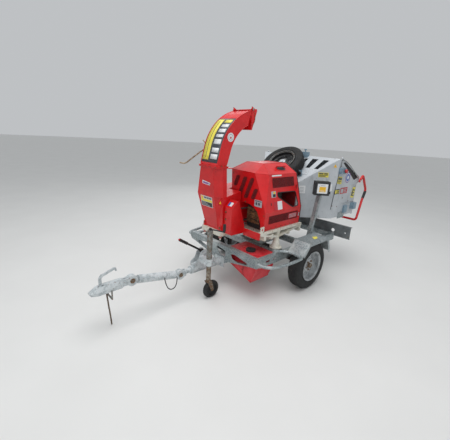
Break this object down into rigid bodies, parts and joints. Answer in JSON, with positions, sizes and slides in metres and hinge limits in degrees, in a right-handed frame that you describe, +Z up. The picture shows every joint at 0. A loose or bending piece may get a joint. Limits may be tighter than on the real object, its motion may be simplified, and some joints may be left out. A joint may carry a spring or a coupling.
{
  "type": "wood chipper",
  "caption": "Towed wood chipper: single-axle trailer with height-adjustable drawbar, slewing red chipping unit with engine hood, curved discharge chute and wide infeed hopper.",
  "frame": {"origin": "on the ground, under the middle of the whole machine", "axes": "+Z up; -Y is the towing direction, towards the coupling; +X is the side with the road wheel seen first, the trailer's left"},
  "size_m": [1.594, 3.774, 2.0539],
  "materials": {
    "galvanised": "hot-dip galvanised grey, slightly spangled",
    "dark_steel": "bare dark steel",
    "crimson": "glossy red paint",
    "cream": "cream paint, worn",
    "tyre_rubber": "matt black",
    "rim_silver": "silver paint",
    "rim_black": "satin black paint",
    "hub_rust": "rusty brown",
    "drawbar_white": "whitish galvanised",
    "black_plastic": "matt black",
    "red_plastic": "glossy red",
    "steel": "bright zinc",
    "cable": "black rubber",
    "wire": "sheathed steel wire",
    "belt_rubber": "matt black",
    "tank_red": "red moulded plastic",
    "engine_metal": "dark engine paint",
    "heat_brown": "heat-stained steel",
    "switch_grey": "blue-grey switch boxes",
    "hopper_grey": "light grey paint"
  },
  "bodies": {
    "chassis": {"front_beam": "galvanised", "chassis_rails": "galvanised", "axle_beam": "dark_steel", "mudguard_left": "galvanised", "mudguard_right": "galvanised", "guard_tubes": "galvanised", "overrun_housing": "galvanised", "brake_bracket": "galvanised", "jockey_clamp": "galvanised", "fuel_tank": "tank_red", "light_board": "galvanised", "box_post": "galvanised", "document_box": "black_plastic", "slew_base": "cream"},
    "tank_cap": {"tank_cap": "black_plastic"},
    "box_lid": {"box_lid": "black_plastic"},
    "wheel_left": {"tyre_left": "tyre_rubber", "rim_left": "rim_silver", "hub_left": "hub_rust"},
    "wheel_right": {"tyre_right": "tyre_rubber", "rim_right": "rim_silver", "hub_right": "hub_rust"},
    "draw_shaft": {"draw_shaft": "dark_steel"},
    "drawbar": {"drawbar_tube": "drawbar_white", "drawbar_bolts": "hub_rust", "lighting_cable": "cable"},
    "coupling_head": {"coupling_head": "drawbar_white", "cable_shackle": "steel", "breakaway_cable": "wire"},
    "coupling_handle": {"coupling_handle": "steel"},
    "brake_lever": {"brake_lever": "black_plastic"},
    "lever_button": {"lever_button": "red_plastic"},
    "jockey_tube": {"jockey_tube": "galvanised"},
    "jockey_inner": {"jockey_inner": "hub_rust"},
    "jockey_fork": {"jockey_fork": "hub_rust"},
    "jockey_wheel": {"jockey_wheel": "tyre_rubber"},
    "jockey_crank": {"jockey_crank": "black_plastic"},
    "turntable": {"slew_top": "cream", "base_frame": "cream", "rotor_housing": "crimson", "belt_cover": "crimson", "drive_belt": "belt_rubber", "engine": "engine_metal", "heat_shield": "heat_brown", "feed_housing": "crimson", "hopper": "hopper_grey", "switch_boxes": "switch_grey", "spare_tyre": "tyre_rubber", "spare_rim": "rim_black"},
    "slew_lock": {"slew_lock": "galvanised"},
    "rotor": {"rotor": "dark_steel"},
    "engine_pulley": {"engine_pulley": "dark_steel"},
    "feed_roller": {"feed_roller": "dark_steel"},
    "hood": {"hood": "crimson"},
    "chute": {"chute": "crimson", "chute_handle": "steel"},
    "chute_flap": {"chute_flap": "crimson"},
    "feed_table": {"feed_table": "hopper_grey"},
    "control_bar": {"control_bar": "crimson"},
    "stop_button": {"stop_button": "red_plastic"}
  },
  "joints": [
    {"name": "wheel_left_spin", "type": "hinge", "parent": "chassis", "child": "wheel_left", "pos_m": [0.6865, 0.3975, 0.29], "axis": [1, 0, 0], "continuous": true},
    {"name": "wheel_right_spin", "type": "hinge", "parent": "chassis", "child": "wheel_right", "pos_m": [-0.6865, 0.3975, 0.29], "axis": [1, 0, 0], "continuous": true},
    {"name": "tank_cap_turn", "type": "hinge", "parent": "chassis", "child": "tank_cap", "pos_m": [0.335, -0.2425, 0.5], "axis": [0, 0, 1], "range_deg": [0, 90]},
    {"name": "box_lid_swing", "type": "hinge", "parent": "chassis", "child": "box_lid", "pos_m": [0.56447, 0.54792, 1.19], "axis": [0, 0, -1], "range_deg": [0, 110]},
    {"name": "overrun_slide", "type": "slide", "parent": "chassis", "child": "draw_shaft", "axis": [0, 1, 0], "range_m": [0, 0.06], "stiffness_N_per_m": 20000, "springref_m": -0.005},
    {"name": "drawbar_lift", "type": "hinge", "parent": "draw_shaft", "child": "drawbar", "pos_m": [0, -0.9755, 0.292], "axis": [1, 0, 0], "range_deg": [-25, 0]},
    {"name": "coupling_level", "type": "hinge", "parent": "drawbar", "child": "coupling_head", "pos_m": [0, -1.5085, 0.398], "axis": [1, 0, 0], "range_deg": [0, 25]},
    {"name": "coupling_release", "type": "hinge", "parent": "coupling_head", "child": "coupling_handle", "pos_m": [0, -1.7865, 0.42], "axis": [1, 0, 0], "range_deg": [0, 40], "stiffness_Nm_per_rad": 3, "springref_deg": -17.19},
    {"name": "brake_pull", "type": "hinge", "parent": "chassis", "child": "brake_lever", "pos_m": [-0.012, -0.6755, 0.487], "axis": [-1, 0, 0], "range_deg": [0, 45]},
    {"name": "brake_button_press", "type": "slide", "parent": "brake_lever", "child": "lever_button", "axis": [0, 0.8387, -0.5446], "range_m": [0, 0.008], "stiffness_N_per_m": 600, "springref_m": -0.006},
    {"name": "jockey_height", "type": "slide", "parent": "chassis", "child": "jockey_tube", "axis": [0, 0, 1], "range_m": [0, 0.05]},
    {"name": "jockey_extend", "type": "slide", "parent": "jockey_tube", "child": "jockey_inner", "axis": [0, 0, 1], "range_m": [0, 0.08]},
    {"name": "jockey_swivel", "type": "hinge", "parent": "jockey_inner", "child": "jockey_fork", "pos_m": [0.18, -0.7225, 0.2], "axis": [0, 0, 1], "continuous": true},
    {"name": "jockey_roll", "type": "hinge", "parent": "jockey_fork", "child": "jockey_wheel", "pos_m": [0.18, -0.6825, 0.1], "axis": [1, 0, 0], "continuous": true},
    {"name": "crank_turn", "type": "hinge", "parent": "jockey_tube", "child": "jockey_crank", "pos_m": [0.18, -0.7225, 0.8], "axis": [0, 0, 1], "continuous": true},
    {"name": "turntable_slew", "type": "hinge", "parent": "chassis", "child": "turntable", "pos_m": [0, 0.2975, 0.56], "axis": [0, 0, 1], "range_deg": [-5, 60]},
    {"name": "slew_lock_release", "type": "hinge", "parent": "chassis", "child": "slew_lock", "pos_m": [0.54, -0.0725, 0.51], "axis": [0, 0, 1], "range_deg": [-20, 0]},
    {"name": "rotor_spin", "type": "hinge", "parent": "turntable", "child": "rotor", "pos_m": [0, -0.3375, 0.878], "axis": [1, 0, 0], "continuous": true},
    {"name": "engine_spin", "type": "hinge", "parent": "turntable", "child": "engine_pulley", "pos_m": [0.139, -0.0025, 0.878], "axis": [1, 0, 0], "continuous": true},
    {"name": "roller_spin", "type": "hinge", "parent": "turntable", "child": "feed_roller", "pos_m": [-0.1, -0.0325, 0.872], "axis": [1, 0, 0], "continuous": true},
    {"name": "hood_open", "type": "hinge", "parent": "turntable", "child": "hood", "pos_m": [-0.124, 0.0975, 1.19], "axis": [0, -1, 0], "range_deg": [0, 55]},
    {"name": "chute_turn", "type": "hinge", "parent": "turntable", "child": "chute", "pos_m": [-0.085, -0.4875, 1.41], "axis": [0, 0, 1], "range_deg": [-35, 180]},
    {"name": "flap_swing", "type": "hinge", "parent": "chute", "child": "chute_flap", "pos_m": [-0.085, -0.08575, 2.02191], "axis": [1, 0, 0], "range_deg": [0, 70]},
    {"name": "table_fold", "type": "hinge", "parent": "turntable", "child": "feed_table", "pos_m": [0, 1.6015, 0.751], "axis": [-1, 0, 0], "range_deg": [0, 90]},
    {"name": "control_bar_swing", "type": "hinge", "parent": "turntable", "child": "control_bar", "pos_m": [0, 1.6095, 1.222], "axis": [1, 0, 0], "range_deg": [-12, 12]},
    {"name": "stop_press", "type": "slide", "parent": "turntable", "child": "stop_button", "axis": [-1, 0, 0], "range_m": [0, 0.006], "stiffness_N_per_m": 1500, "springref_m": -0.004}
  ],
  "couplings": [
    {"joint": "coupling_level", "follows": "drawbar_lift", "ratio": -1},
    {"joint": "engine_spin", "follows": "rotor_spin", "ratio": 1.25}
  ]
}
